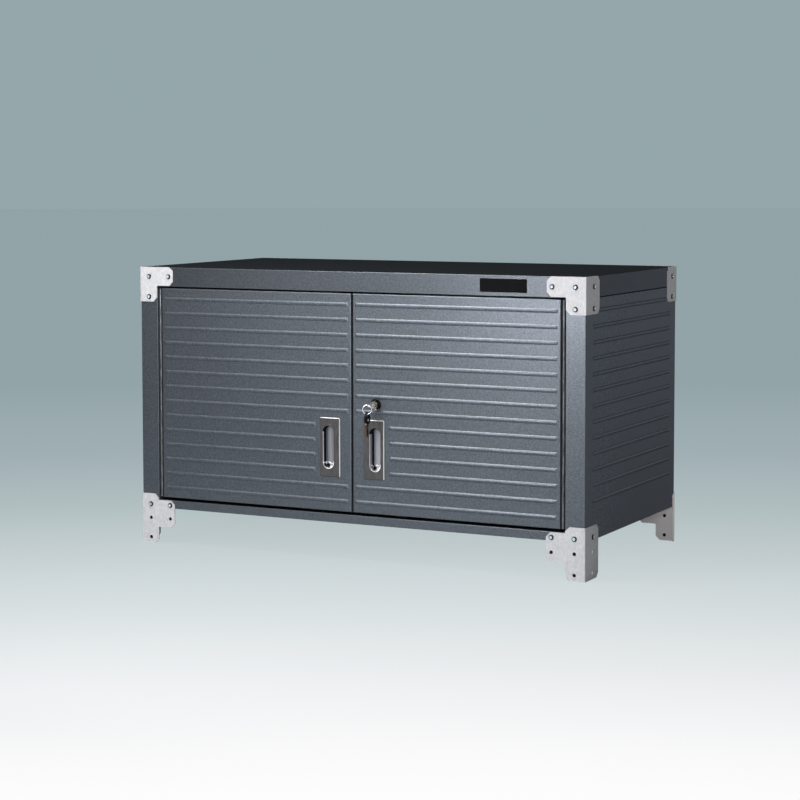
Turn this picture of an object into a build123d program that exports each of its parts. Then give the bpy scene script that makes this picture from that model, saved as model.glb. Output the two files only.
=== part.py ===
from build123d import *
import os
from math import cos, radians, sin

# Two-door steel wall cabinet, millimetres, Z up, the doors face -Y.
# The body stands on four folded corner feet that leave its floor clear of the surface below.

# ---- Body ---------------------------------------------------------------------------------
body_width = 914.4
body_depth = 457.2
body_height = 462.5
foot_drop = 68.0          # height of the feet under the body
sheet = 1.0               # side, back, shelf and door sheet
tray_sheet = 1.2          # top and bottom tray sheet
fold_radius = 1.8         # outside radius of the top tray's folded edges
edge_fold = 0.9           # outside radius of the other folded edges
door_fold = 2.2           # outside radius round the face of a door
seat = 0.05               # gap left between two pieces that are fastened face to face
over = 1.0                # how far a cutter runs past the face that it cuts

top_rail_height = 36.5
top_rail_return = 40.0    # lip folded back from the foot of the top rail, over the doors
bottom_rail_height = 16.0
bottom_rail_return = 34.0
post_width = 37.0         # face of the folded front post
post_depth = 30.0
post_lip = 22.0
rear_flange = 24.0
joggle_height = 18.0      # part of the side sheet that steps inside the top tray
joggle_step = 5.0
tray_flange = 16.0        # upturned edges of the bottom tray

# ---- Pressed stiffening beads -------------------------------------------------------------
bead_width = 7.6
bead_height = 1.5
bead_ramp = 3.0
bead_first_row = 20.6     # below the top of a door
bead_last_row = 19.8      # above the foot of a door
door_bead_rows = 14
side_bead_rows = 13
door_bead_margin = 6.0    # from a door's edge to the end of its beads
side_bead_front = 34.0
side_bead_back = 30.0
side_bead_bracket_gap = 3.0
handle_rows = (8, 11)     # the handle is level with these rows, counted from the top
lock_rows = (6, 7)        # the lock sits between these rows
short_row_gap = 10.0      # between the handle and the rows that stop beside it
pad_gap = 0.2             # flat left in the door's face round the lock

# ---- Doors --------------------------------------------------------------------------------
door_top_gap = 3.2
door_bottom_gap = 5.0
door_middle_gap = 3.0
door_depth = 20.0
door_lip = 15.0           # flange folded in along the back of the door pan
hinge_zone = 9.2          # between a door's edge and its post
leaf_thickness = 1.2
leaf_depth = 14.5
leaf_curl = 1.5           # the leaf starts this far behind the pin's axis
knuckle_radius = 2.8
knuckle_count = 15
knuckle_gap = 0.4
hinge_end_gap = 1.0
pin_radius = 1.25
pin_press = 0.02          # radial gap in the post knuckles, which hold the pin
pin_running = 0.06        # radial gap in the door knuckles, which turn on it
pin_inset = 3.4           # pin axis behind the front face
stiffener_width = 60.0
stiffener_crown = 24.0

# ---- Flush handle -------------------------------------------------------------------------
handle_width = 42.0
handle_height = 109.0
handle_thickness = 2.4
handle_corner = 3.0
handle_bevel = 0.9
handle_x = 45.5           # from the cabinet's middle to the plate's middle
handle_lift = 0.9         # the plate's middle above the middle of its rows
cup_width = 23.5
cup_height = 80.0
cup_offset = 2.7          # the cup sits off the plate's middle, towards the hinge
cup_wall = 1.2
cup_straight = 2.0        # straight part of the cup before it rounds
cup_gap = 0.4
boss_radius = 3.2
boss_length = 0.9
boss_reach = 47.5         # from the plate's middle to each fixing boss
boss_gap = 0.25
cup_rim = 1.6             # raised rim round the cup
cup_rim_height = 0.5
cup_rim_bevel = 0.3
handle_screw_radius = 1.8
handle_screw_head = 5.4
handle_screw_head_height = 2.2

# ---- Cam lock -----------------------------------------------------------------------------
lock_x = 49.0
lock_bezel_radius = 10.6
lock_bezel_thickness = 1.8
lock_bezel_chamfer = 0.6
lock_head_chamfer = 0.8
lock_head_radius = 9.7
lock_head_reach = 7.5
lock_barrel_radius = 8.0
lock_barrel_length = 19.0
lock_nut_flats = 22.0
lock_nut_thickness = 3.5
plug_radius = 6.0
plug_running = 0.06
keyway_width = 8.6
keyway_height = 2.4
keyway_depth = 20.0
cam_thickness = 2.0
cam_width = 16.0
cam_reach = 59.0          # from the plug's axis to the cam's tip
cam_behind_door = 2.5
cam_corner = 4.8
cam_square = 7.0          # tang that turns the cam
cam_screw_radius = 2.0
cam_screw_head = 5.0
cam_screw_head_height = 2.8
cam_screw_grip = 6.0      # length of the screw inside the plug
cam_screw_bevel = 0.8

# ---- Keys and ring ------------------------------------------------------------------------
key_thickness = 2.0
blade_width = 8.0
blade_length = 19.0
blade_root = 2.0          # length of the blade inside the bow
blade_tip = 2.4
key_cuts = (1.2, 2.0, 0.8, 1.6)
bow_radius = 10.0
bow_length = 22.0
eye_radius = 3.5          # hole for the ring
eye_web = 2.4
ring_radius = 8.15
ring_wire = 0.85
ring_rest = 0.3           # the ring hangs this far clear of what it touches
ring_turn = 28.0          # the ring hangs turned by this angle from the door's plane
cover_thickness = 4.0
cover_chamfer = 0.7
cover_eye_radius = 4.0
cover_rest = 0.5          # the spare key hangs this far clear of the ring
tang_start = 6.2          # from the eye's middle to the metal inside the cover
tang_width = 11.0
spare_blade_length = 23.0

# ---- Shelf --------------------------------------------------------------------------------
standard_width = 22.0
standard_depth = 9.0
standard_front = 38.0     # front standard behind the front face
standard_back = 58.0      # rear standard before the back face
slot_pitch = 38.1
slot_rows = 9
slot_height = 12.0
slot_width = 3.2
slot_lowest = 45.0        # first slot above the body's floor
shelf_rows_up = 4         # rows from the lowest slot to the one that carries the shelf
standard_end_gap = 1.0
shelf_flange = 22.0
shelf_return = 12.0
shelf_side_gap = 0.4
shelf_front_gap = 16.0    # between the door's back and the shelf
shelf_rail_gap = 3.0
clip_thickness = 1.6
clip_width = 14.0
clip_ledge = 11.0
clip_above = 8.0          # how far the clip's plate reaches above and below its ledge
clip_below = 10.0
clip_slot_gap = 0.2       # side gap of the clip's tab in its slot
clip_hook_gap = 0.6

# ---- Wall rails ---------------------------------------------------------------------------
wall_rail_height = 44.0
wall_rail_depth = 12.0
wall_hole_spacing = 406.4 # wall studs stand at this spacing
wall_hole_radius = 4.0
upper_wall_rail = 372.0   # rail's middle above the body's floor
lower_wall_rail = 64.0

# ---- Catches, stops and badge plate -------------------------------------------------------
magnet_width = 44.0
magnet_depth = 14.0
magnet_height = 15.0
magnet_x = 120.0
block_chamfer = 1.5
strike_thickness = 1.2
strike_gap = 0.5
strike_width = 38.0
strike_height = 12.0
strike_below_top = 2.0
stop_width = 16.0
stop_depth = 8.0
stop_height = 14.0
stop_x = 90.0
badge_width = 90.0
badge_height = 24.0
badge_thickness = 1.2
badge_from_side = 155.7   # from the cabinet's right side to the badge's middle
badge_corner = 1.0
badge_bevel = 0.4

# ---- Corner brackets ----------------------------------------------------------------------
bracket_sheet = 1.5
bracket_width = 74.0
bracket_arm = 38.0        # width of the upright arm
bracket_chamfer = 8.0
bracket_bend = 1.6
top_bracket_height = 66.0
top_bracket_arm = 35.5    # height of its level arm
foot_bracket_rise = 26.5  # top of a foot bracket above the body's floor
foot_arm_top = 15.0
foot_arm_bottom = -37.0
front_side_plate = 61.0
rear_side_plate = 51.0
rear_foot_flange = 10.5
flange_chamfer = 4.0
bracket_hole_inner = 20.5 # hole columns from the bracket's outer edge
bracket_hole_outer = 64.0
side_hole_setback = 26.0  # from the free end of a side plate
hole_radius = 3.4
top_hole_rows = (18.0, 56.5)        # below the body's top
foot_hole_rows = (6.3, -20.0, -57.5)  # above the body's floor
screw_radius = 2.6
screw_hole = 2.9
screw_length = 8.0
screw_head_radius = 4.9
screw_head_height = 2.6
screw_crown_radius = 2.8  # flat middle of the domed head
screw_shoulder_radius = 4.3
screw_shoulder_height = 1.9
screw_rim_height = 0.9

# ---- Derived places -----------------------------------------------------------------------
half_width = body_width / 2
floor_z = foot_drop
top_z = floor_z + body_height
rail_z = top_z - top_rail_height
post_inner = half_width - post_width
door_outer = post_inner - hinge_zone
door_inner = door_middle_gap / 2
door_bottom = floor_z + bottom_rail_height + door_bottom_gap
door_top = rail_z - door_top_gap
bead_top = door_top - bead_first_row
bead_pitch = (bead_top - door_bottom - bead_last_row) / (door_bead_rows - 1)
bead_rows = [bead_top - bead_pitch * row for row in range(door_bead_rows)]
pin_x = post_inner - hinge_zone / 2
handle_z = (bead_rows[handle_rows[0]] + bead_rows[handle_rows[1]]) / 2 + handle_lift
lock_z = (bead_rows[lock_rows[0]] + bead_rows[lock_rows[1]]) / 2
cup_radius = cup_width / 2
cup_x = handle_x + cup_offset
badge_x = half_width - badge_from_side
standard_face = half_width - sheet - seat - standard_depth
shelf_half = standard_face - seat - clip_thickness - shelf_side_gap
shelf_front = door_depth + shelf_front_gap
shelf_seat_z = floor_z + slot_lowest + slot_pitch * shelf_rows_up
back_panel_rear = body_depth - tray_sheet - seat
wall_rail_back = back_panel_rear - sheet - seat
shelf_back = wall_rail_back - wall_rail_depth - shelf_rail_gap


def block(x0, x1, y0, y1, z0, z1):
    """A box between two corners."""
    return Pos(x0, y0, z0) * Box(x1 - x0, y1 - y0, z1 - z0, align=(Align.MIN,) * 3)


def rod_x(x0, x1, y, z, radius):
    """A round bar along X."""
    return Pos((x0 + x1) / 2, y, z) * Rot(0, 90, 0) * Cylinder(radius, abs(x1 - x0))


def rod_y(x, y0, y1, z, radius):
    """A round bar along Y."""
    return Pos(x, (y0 + y1) / 2, z) * Rot(90, 0, 0) * Cylinder(radius, abs(y1 - y0))


def rod_z(x, y, z0, z1, radius):
    """A round bar along Z."""
    return Pos(x, y, (z0 + z1) / 2) * Cylinder(radius, abs(z1 - z0))


def outline_y(points, y0, y1):
    """A flat outline of (x, z) points, made thick from y0 to y1."""
    face = make_face(Polyline(*[(x, 0, z) for x, z in points], close=True))
    return Pos(0, y0, 0) * extrude(face, amount=y1 - y0, dir=(0, 1, 0))


def outline_x(points, x0, x1):
    """A flat outline of (y, z) points, made thick from x0 to x1."""
    face = make_face(Polyline(*[(0, y, z) for y, z in points], close=True))
    return Pos(x0, 0, 0) * extrude(face, amount=x1 - x0, dir=(1, 0, 0))


def outline_z(points, z0, z1):
    """A flat outline of (x, y) points, made thick from z0 to z1."""
    face = make_face(Polyline(*[(x, y, 0) for x, y in points], close=True))
    return Pos(0, 0, z0) * extrude(face, amount=z1 - z0, dir=(0, 0, 1))


def other_side(shape):
    """The left-hand copy of a right-hand piece."""
    return mirror(shape, about=Plane.YZ)


def bead(length, width, height, root):
    """A pressed rib along +X that stands out towards -Y and slopes away at both ends.

    It starts `root` behind the face that it stands on, so that it joins the sheet.
    """
    crown = ThreePointArc((0, 0, -width / 2), (0, -height, 0), (0, 0, width / 2))
    foot = Polyline((0, 0, width / 2), (0, root, width / 2), (0, root, -width / 2), (0, 0, -width / 2))
    rib = extrude(make_face([crown, foot]), amount=length, dir=(1, 0, 0))
    rise = height + over
    slope = bead_ramp * rise / height
    ends = [(0, root), (0, 0), (slope, -rise), (length - slope, -rise), (length, 0), (length, root)]
    return rib & outline_z(ends, -width, width)


def bead_pair(length):
    """The rib outside the sheet, and the hollow that the press leaves inside it."""
    rib = bead(length, bead_width, bead_height, sheet / 2)
    hollow = bead(length - sheet, bead_width - sheet, bead_height, sheet / 2)
    return rib, Pos(sheet / 2, sheet, 0) * hollow


# ---- Where the corner brackets' holes are -------------------------------------------------
outer_x = half_width + seat + bracket_sheet
outer_y = seat + bracket_sheet
columns = (outer_x - bracket_hole_inner, outer_x - bracket_hole_outer)
front_side_hole_y = front_side_plate - outer_y - side_hole_setback
rear_side_hole_y = body_depth - (rear_side_plate - outer_y - side_hole_setback)
top_rows = [top_z - row for row in top_hole_rows]
foot_rows = [floor_z + row for row in foot_hole_rows]
top_face_screws = [(columns[0], top_rows[0]), (columns[1], top_rows[0]), (columns[0], top_rows[1])]
foot_face_screws = [(columns[0], foot_rows[0]), (columns[1], foot_rows[0])]
foot_face_open = [(columns[0], foot_rows[1]), (columns[1], foot_rows[1]), (columns[0], foot_rows[2])]


def screw_places():
    """Every bracket screw as (direction, x, y, z), at the bracket's outer face."""
    places = []
    for side in (-1, 1):
        for x, z in top_face_screws + foot_face_screws:
            places.append(("front", side * x, -outer_y, z))
            places.append(("back", side * x, body_depth + outer_y, z))
        for z in top_rows:
            places.append(("side", side * outer_x, front_side_hole_y, z))
            places.append(("side", side * outer_x, rear_side_hole_y, z))
        places.append(("side", side * outer_x, front_side_hole_y, foot_rows[0]))
    return places


def screw_frame(place):
    """A plane at a screw's place, with its Z axis out of the bracket."""
    direction, x, y, z = place
    outward = {"front": (0, -1, 0), "back": (0, 1, 0), "side": (x, 0, 0)}[direction]
    return Plane(origin=(x, y, z), z_dir=outward)


def drilled(panel, directions):
    """Cut the screw holes of the given directions into a panel."""
    depth = screw_length + over
    drill = Pos(0, 0, -depth / 2) * Cylinder(screw_hole, depth)
    return panel - [screw_frame(place) * drill for place in screw_places() if place[0] in directions]


# ---- Body panels --------------------------------------------------------------------------
def make_top_panel():
    """A tray turned upside down: the top, the front rail and the skirts are one folded sheet."""
    shell = block(-half_width, half_width, 0, body_depth, rail_z, top_z)
    rim = shell.edges().group_by(Axis.Z)[-1] + shell.edges().filter_by(Axis.Z)
    shell = fillet(rim, fold_radius)
    inner_x = half_width - tray_sheet
    inner_y = body_depth - tray_sheet
    shell -= block(-inner_x, inner_x, tray_sheet, inner_y, rail_z - over, top_z - tray_sheet)
    lip = block(-post_inner, post_inner, tray_sheet / 2, top_rail_return, rail_z, rail_z + tray_sheet)
    return drilled(shell + lip, ("front", "back", "side"))


def make_bottom_panel():
    """The floor tray: front rail with its return, and edges turned up inside the side sheets."""
    inner = half_width - sheet - seat
    rail_half = post_inner - seat
    rear_half = half_width - rear_flange - seat
    notch = post_depth + seat
    flange_top = floor_z + tray_flange
    rail_top = floor_z + bottom_rail_height
    tray = block(-rail_half, rail_half, 0, notch, floor_z, floor_z + tray_sheet)
    tray += block(-inner, inner, notch, body_depth - sheet - seat, floor_z, floor_z + tray_sheet)
    tray += block(-rear_half, rear_half, notch, body_depth, floor_z, floor_z + tray_sheet)
    tray += block(-rear_half, rear_half, body_depth - tray_sheet, body_depth, floor_z, flange_top)
    tray += block(-inner, tray_sheet - inner, notch, wall_rail_back, floor_z, flange_top)
    tray += block(inner - tray_sheet, inner, notch, wall_rail_back, floor_z, flange_top)
    tray += block(-rail_half, rail_half, 0, tray_sheet, floor_z, rail_top)
    tray += block(-rail_half, rail_half, 0, bottom_rail_return, rail_top - tray_sheet, rail_top)
    folds = tray.edges().filter_by(Axis.X).group_by(Axis.Y)[0]
    return drilled(fillet(folds, edge_fold), ("front", "back", "side"))


def make_right_side_panel():
    """One sheet: the box post folded at its front, a flange at its back, a stepped lip on top."""
    x = half_width
    profile = [
        (x, 0),
        (x, body_depth),
        (x - rear_flange, body_depth),
        (x - rear_flange, body_depth - sheet),
        (x - sheet, body_depth - sheet),
        (x - sheet, sheet),
        (post_inner + sheet, sheet),
        (post_inner + sheet, post_depth - sheet),
        (post_inner + post_lip, post_depth - sheet),
        (post_inner + post_lip, post_depth),
        (post_inner, post_depth),
        (post_inner, 0),
    ]
    panel = outline_z(profile, floor_z, rail_z - seat)
    front_folds = panel.edges().filter_by(Axis.Z).filter_by(lambda fold: fold.center().Y < seat)
    panel = fillet(front_folds, edge_fold)
    rear_fold = panel.edges().filter_by(Axis.Z).sort_by(lambda fold: fold.center().X + fold.center().Y)
    panel = fillet(rear_fold[-1], edge_fold)
    lip_front = post_depth + seat
    lip_back = wall_rail_back - sheet
    lip_foot = rail_z - seat - 2 * joggle_step
    lip_x = x - tray_sheet - seat
    step = [
        (x, lip_foot),
        (x, rail_z - seat - joggle_step),
        (lip_x, rail_z - seat),
        (lip_x, rail_z + joggle_height),
        (lip_x - sheet, rail_z + joggle_height),
        (lip_x - sheet, rail_z - seat - sheet),
        (x - sheet, lip_foot),
    ]
    panel -= block(x - sheet - seat, x + over, lip_front, lip_back, lip_foot, rail_z)
    panel += outline_y(step, lip_front, lip_back)
    ribs = []
    hollows = []
    for z in bead_rows[:side_bead_rows]:
        start = side_bead_front
        end = body_depth - side_bead_back
        if z + bead_width / 2 > top_z - top_bracket_height:
            start = front_side_plate - outer_y + side_bead_bracket_gap
            end = body_depth - (rear_side_plate - outer_y) - side_bead_bracket_gap
        rib, hollow = bead_pair(end - start)
        ribs.append(Pos(x, start, z) * Rot(0, 0, 90) * rib)
        hollows.append(Pos(x, start, z) * Rot(0, 0, 90) * hollow)
    return drilled(panel + ribs - hollows, ("front", "back", "side"))


def wall_holes():
    """The four holes for the wall screws, as (x, z)."""
    rows = (floor_z + lower_wall_rail, floor_z + upper_wall_rail)
    return [(side * wall_hole_spacing / 2, z) for side in (-1, 1) for z in rows]


def make_back_panel():
    """A plain sheet that stands inside the side flanges and the top tray's skirt."""
    x = half_width - tray_sheet - seat
    front = back_panel_rear - sheet
    panel = block(-x, x, front, back_panel_rear, floor_z + tray_sheet + seat, top_z - tray_sheet - seat)
    rear = back_panel_rear + over
    panel -= [rod_y(hx, front - over, rear, hz, wall_hole_radius) for hx, hz in wall_holes()]
    return drilled(panel, ("back",))


def make_wall_rail(middle):
    """A channel spot-welded across the back panel, where the wall screws pull."""
    x = half_width - 2 * sheet
    front = wall_rail_back - wall_rail_depth
    z0 = floor_z + middle - wall_rail_height / 2
    z1 = z0 + wall_rail_height
    rail = block(-x, x, front, wall_rail_back, z0, z1)
    rail -= block(-x - over, x + over, front - over, wall_rail_back - sheet, z0 + sheet, z1 - sheet)
    holes = [rod_y(hx, front, wall_rail_back + over, hz, wall_hole_radius) for hx, hz in wall_holes()]
    return rail - holes


# ---- Shelf --------------------------------------------------------------------------------
def make_shelf_standard(middle_y):
    """A right-hand slotted channel on the inside of the side sheet."""
    y0 = middle_y - standard_width / 2
    y1 = middle_y + standard_width / 2
    z0 = floor_z + tray_flange + standard_end_gap
    z1 = rail_z - 2 * joggle_step - standard_end_gap
    back = half_width - sheet - seat
    channel = block(standard_face, back, y0, y1, z0, z1)
    channel -= block(standard_face + sheet, back + over, y0 + sheet, y1 - sheet, z0 - over, z1 + over)
    slots = []
    for row in range(slot_rows):
        z = floor_z + slot_lowest + slot_pitch * row
        slots.append(
            block(
                standard_face - over,
                standard_face + sheet + over,
                middle_y - slot_width / 2,
                middle_y + slot_width / 2,
                z - slot_height / 2,
                z + slot_height / 2,
            )
        )
    return channel - slots


def make_shelf_clip(middle_y):
    """A right-hand clip: a hook through the slot, a plate on the standard and a ledge."""
    face = standard_face - seat
    behind = standard_face + sheet + seat
    tab = slot_width / 2 - clip_slot_gap
    drop = slot_height / 2 - clip_hook_gap
    y0 = middle_y - clip_width / 2
    y1 = middle_y + clip_width / 2
    low = shelf_seat_z - clip_below
    high = shelf_seat_z + clip_above
    clip = block(face - clip_thickness, face, y0, y1, low, high)
    clip += block(face - clip_ledge, face, y0, y1, shelf_seat_z - clip_thickness, shelf_seat_z)
    y0 = middle_y - tab
    y1 = middle_y + tab
    through = behind + clip_thickness
    clip += block(face - clip_thickness, through, y0, y1, shelf_seat_z - drop, shelf_seat_z + drop)
    clip += block(behind, through, y0, y1, shelf_seat_z - slot_height, shelf_seat_z)
    return clip


def make_shelf():
    """A folded tray with its open side down and lips along its front and back."""
    z0 = shelf_seat_z + seat
    z1 = z0 + shelf_flange
    tray = block(-shelf_half, shelf_half, shelf_front, shelf_back, z0, z1)
    tray = fillet(tray.edges().filter_by(Axis.X).group_by(Axis.Z)[-1], edge_fold)
    inner = shelf_half - sheet
    tray -= block(-inner, inner, shelf_front + sheet, shelf_back - sheet, z0 + sheet, z1 - sheet)
    clear_front = shelf_front + shelf_return
    clear_back = shelf_back - shelf_return
    return tray - block(-inner, inner, clear_front, clear_back, z0 - over, z0 + 2 * sheet)


# ---- Doors --------------------------------------------------------------------------------
def capsule(radius, y0, y1):
    """A bar along Y with the outline of the finger cup: straight sides and round ends."""
    half = cup_height / 2 - cup_radius
    bar = block(cup_x - radius, cup_x + radius, y0, y1, handle_z - half, handle_z + half)
    return bar + [rod_y(cup_x, y0, y1, handle_z + end, radius) for end in (-half, half)]


def trough(radius, front, straight_to):
    """The finger cup's form: straight walls from the front, then a rounded bottom."""
    half = cup_height / 2 - cup_radius
    bottom = rod_z(cup_x, straight_to, handle_z - half, handle_z + half, radius)
    bottom += [Pos(cup_x, straight_to, handle_z + end) * Sphere(radius) for end in (-half, half)]
    bottom &= block(cup_x - radius, cup_x + radius, straight_to, straight_to + radius,
                    handle_z - half - radius, handle_z + half + radius)
    return capsule(radius, front, straight_to) + bottom


def boss_rods(y0, y1, radius):
    """Round bars at the handle's two fixing bosses."""
    ends = (handle_z - boss_reach, handle_z + boss_reach)
    return [rod_y(handle_x, y0, y1, z, radius) for z in ends]


def make_right_door(with_lock):
    """The door pan: one sheet folded back on four sides, with pressed beads across its face."""
    pan = block(door_inner, door_outer, 0, door_depth, door_bottom, door_top)
    pan = fillet(pan.edges().group_by(Axis.Y)[0], door_fold)
    inside = block(door_inner + sheet, door_outer - sheet, sheet, door_depth - sheet,
                   door_bottom + sheet, door_top - sheet)
    pan -= fillet(inside.edges().group_by(Axis.Y)[0], door_fold - sheet)
    pan -= block(door_inner + door_lip, door_outer - door_lip, door_depth - 2 * sheet, door_depth + over,
                 door_bottom + door_lip, door_top - door_lip)
    start = door_inner + door_bead_margin
    end = door_outer - door_bead_margin
    short_start = handle_x + handle_width / 2 + short_row_gap
    ribs = []
    hollows = []
    for z in bead_rows:
        beside_handle = abs(z - handle_z) < (handle_height + bead_width) / 2
        row_start = short_start if beside_handle else start
        rib, hollow = bead_pair(end - row_start)
        ribs.append(Pos(row_start, 0, z) * rib)
        hollows.append(Pos(row_start, 0, z) * hollow)
    pan = pan + ribs - hollows
    if with_lock:
        # The face is pressed flat again where the bezel sits.
        pad_radius = lock_bezel_radius + pad_gap
        pan += rod_y(lock_x, 0, sheet, lock_z, pad_radius)
        pan -= rod_y(lock_x, -bead_height - over, 0, lock_z, pad_radius)
        pan -= rod_y(lock_x, -over, sheet + over, lock_z, lock_barrel_radius + seat)
    pan -= capsule(cup_radius + cup_wall + cup_gap, -over, sheet + over)
    return pan - boss_rods(-over, sheet + over, boss_radius + boss_gap)


def make_door_stiffener():
    """A hat channel welded down the middle of the right door, behind its face."""
    middle = (door_inner + door_outer) / 2
    brim = middle + stiffener_width / 2
    wall = middle + stiffener_crown / 2 + sheet
    crown = middle + stiffener_crown / 2
    face = sheet + seat
    back = door_depth - sheet - seat
    outer = [(brim, face), (brim, face + sheet), (wall, face + sheet), (crown, back)]
    inner = [(crown - sheet, back - sheet), (wall - sheet, face)]
    mirrored = [(2 * middle - x, y) for x, y in inner[::-1] + outer]
    profile = outer + mirrored[:1:-1] + mirrored[:2] + inner
    return outline_z(profile, door_bottom + door_fold + seat, door_top - door_fold - seat)


def make_handle():
    """A flush pull: a bevelled plate with a rounded, rimmed finger cup sunk in the door."""
    front = -seat - handle_thickness
    rim_front = front - cup_rim_height
    x0 = handle_x - handle_width / 2
    z0 = handle_z - handle_height / 2
    plate = block(x0, x0 + handle_width, front, -seat, z0, z0 + handle_height)
    plate = fillet(plate.edges().filter_by(Axis.Y), handle_corner)
    plate = chamfer(plate.edges().group_by(Axis.Y)[0], handle_bevel)
    rim = capsule(cup_radius + cup_rim, rim_front, -seat)
    plate += chamfer(rim.edges().group_by(Axis.Y)[0], cup_rim_bevel)
    plate += trough(cup_radius + cup_wall, front + handle_bevel, front + cup_straight)
    plate += boss_rods(front + handle_bevel, boss_length - seat, boss_radius)
    plate -= trough(cup_radius, rim_front - over, front + cup_straight)
    return plate - boss_rods(front + handle_bevel, boss_length + over, handle_screw_radius)


def make_handle_screws():
    """The two washer-head screws that hold the handle from inside the door."""
    head_seat = sheet + seat
    heads = boss_rods(head_seat, head_seat + handle_screw_head_height, handle_screw_head)
    shanks = boss_rods(seat, head_seat + over, handle_screw_radius - seat)
    return [head + shank for head, shank in zip(heads, shanks)]


def leaf_span():
    """The height range that a hinge fills."""
    return door_bottom + hinge_end_gap, door_top - hinge_end_gap


def make_hinge_leaf(on_post):
    """One right-hand leaf of the piano hinge, with every other knuckle."""
    z0, z1 = leaf_span()
    front = pin_inset + leaf_curl
    if on_post:
        face_in = post_inner - seat - leaf_thickness
        face_out = post_inner - seat
        first = 0
        bore = pin_radius + pin_press
    else:
        face_in = door_outer + seat
        face_out = door_outer + seat + leaf_thickness
        first = 1
        bore = pin_radius + pin_running
    leaf = block(face_in, face_out, front, front + leaf_depth, z0, z1)
    pitch = (z1 - z0) / knuckle_count
    curls = []
    for index in range(first, knuckle_count, 2):
        low = z0 + pitch * index + (knuckle_gap / 2 if index > 0 else 0)
        high = z0 + pitch * (index + 1) - (knuckle_gap / 2 if index < knuckle_count - 1 else 0)
        curls.append(rod_z(pin_x, pin_inset, low, high, knuckle_radius))
        x0, x1 = sorted((pin_x, face_out if on_post else face_in))
        curls.append(block(x0, x1, front, front + leaf_thickness, low, high))
    return leaf + curls - rod_z(pin_x, pin_inset, z0 - over, z1 + over, bore)


def make_hinge_pin():
    z0, z1 = leaf_span()
    return rod_z(pin_x, pin_inset, z0, z1, pin_radius)


# ---- Lock and keys ------------------------------------------------------------------------
lock_front = -seat - lock_head_reach
cam_front = door_depth + cam_behind_door
bow_end = bow_length - eye_radius - eye_web
eye_y = lock_front - seat - bow_end


def on_lock(width, height, y0, y1):
    """A square bar on the lock's axis."""
    return block(lock_x - width / 2, lock_x + width / 2, y0, y1, lock_z - height / 2, lock_z + height / 2)


def make_lock_body():
    """The lock's housing: bezel, raised head and threaded barrel, bored for the plug."""
    head = rod_y(lock_x, lock_front, -seat, lock_z, lock_head_radius)
    head = chamfer(head.edges().group_by(Axis.Y)[0], lock_head_chamfer)
    bezel = rod_y(lock_x, -seat - lock_bezel_thickness, -seat, lock_z, lock_bezel_radius)
    bezel = chamfer(bezel.edges().group_by(Axis.Y)[0], lock_bezel_chamfer)
    barrel = rod_y(lock_x, lock_front + lock_head_chamfer, lock_barrel_length, lock_z, lock_barrel_radius)
    bore = rod_y(lock_x, lock_front - over, lock_barrel_length + over, lock_z, plug_radius + plug_running)
    return head + bezel + barrel - bore


def make_lock_nut():
    hexagon = extrude(RegularPolygon(lock_nut_flats / 2, 6, major_radius=False), amount=lock_nut_thickness)
    nut = Pos(lock_x, sheet + seat, lock_z) * Rot(-90, 0, 0) * hexagon
    return nut - rod_y(lock_x, 0, lock_barrel_length, lock_z, lock_barrel_radius + seat)


def make_lock_plug():
    """The turning plug, with its keyway in front and a square tang for the cam behind."""
    plug = rod_y(lock_x, lock_front, cam_front - seat, lock_z, plug_radius)
    cam_back = cam_front + cam_thickness
    plug += on_lock(cam_square, cam_square, cam_front - over, cam_back)
    plug -= on_lock(keyway_width, keyway_height, lock_front - over, lock_front + keyway_depth)
    hole_end = cam_front - cam_screw_grip - over
    return plug - rod_y(lock_x, hole_end, cam_back + over, lock_z, cam_screw_radius + seat)


def make_lock_cam():
    """The cam stands upright while the lock is open."""
    half = cam_width / 2
    cam_back = cam_front + cam_thickness
    cam = block(lock_x - half, lock_x + half, cam_front, cam_back, lock_z, lock_z + cam_reach)
    cam = fillet(cam.edges().filter_by(Axis.Y).group_by(Axis.Z)[-1], cam_corner)
    cam += rod_y(lock_x, cam_front, cam_back, lock_z, half)
    hole = cam_square + 2 * seat
    return cam - on_lock(hole, hole, cam_front - over, cam_back + over)


def make_cam_screw():
    head_seat = cam_front + cam_thickness + seat
    head = rod_y(lock_x, head_seat, head_seat + cam_screw_head_height, lock_z, cam_screw_head)
    head = chamfer(head.edges().group_by(Axis.Y)[-1], cam_screw_bevel)
    return head + rod_y(lock_x, cam_front - cam_screw_grip, head_seat + over, lock_z, cam_screw_radius)


def bow_outline():
    """A key's bow on the XY plane: a round body drawn in to the eye, which is at the origin."""
    eye = CenterArc((0, 0), eye_radius + eye_web, 0, 360)
    body = CenterArc((bow_end - bow_radius, 0), bow_radius, 0, 360)
    return make_hull([eye, body])


def key_blade(length):
    """A cut blade along +X from the end of the bow, with notches down one edge."""
    half = blade_width / 2
    blade = block(bow_end - blade_root, bow_end + length, -half, half, -key_thickness / 2, key_thickness / 2)
    blade = chamfer(blade.edges().filter_by(Axis.Z).group_by(Axis.X)[-1], blade_tip)
    pitch = length / (len(key_cuts) + 2)
    for index, depth in enumerate(key_cuts):
        x = bow_end + pitch * (index + 1.5)
        notch = [(x - depth, half + over), (x - depth, half), (x, half - depth)]
        notch += [(x + depth, half), (x + depth, half + over)]
        blade -= outline_z(notch, -key_thickness, key_thickness)
    return blade


def make_key():
    """The key in the lock: its bow lies level, its eye stands out from the door."""
    bow = extrude(bow_outline(), amount=key_thickness / 2, both=True)
    key = bow + key_blade(blade_length) - Cylinder(eye_radius, 2 * key_thickness)
    return Plane(origin=(lock_x, eye_y, lock_z), x_dir=(0, 1, 0), z_dir=(0, 0, 1)) * key


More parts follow.
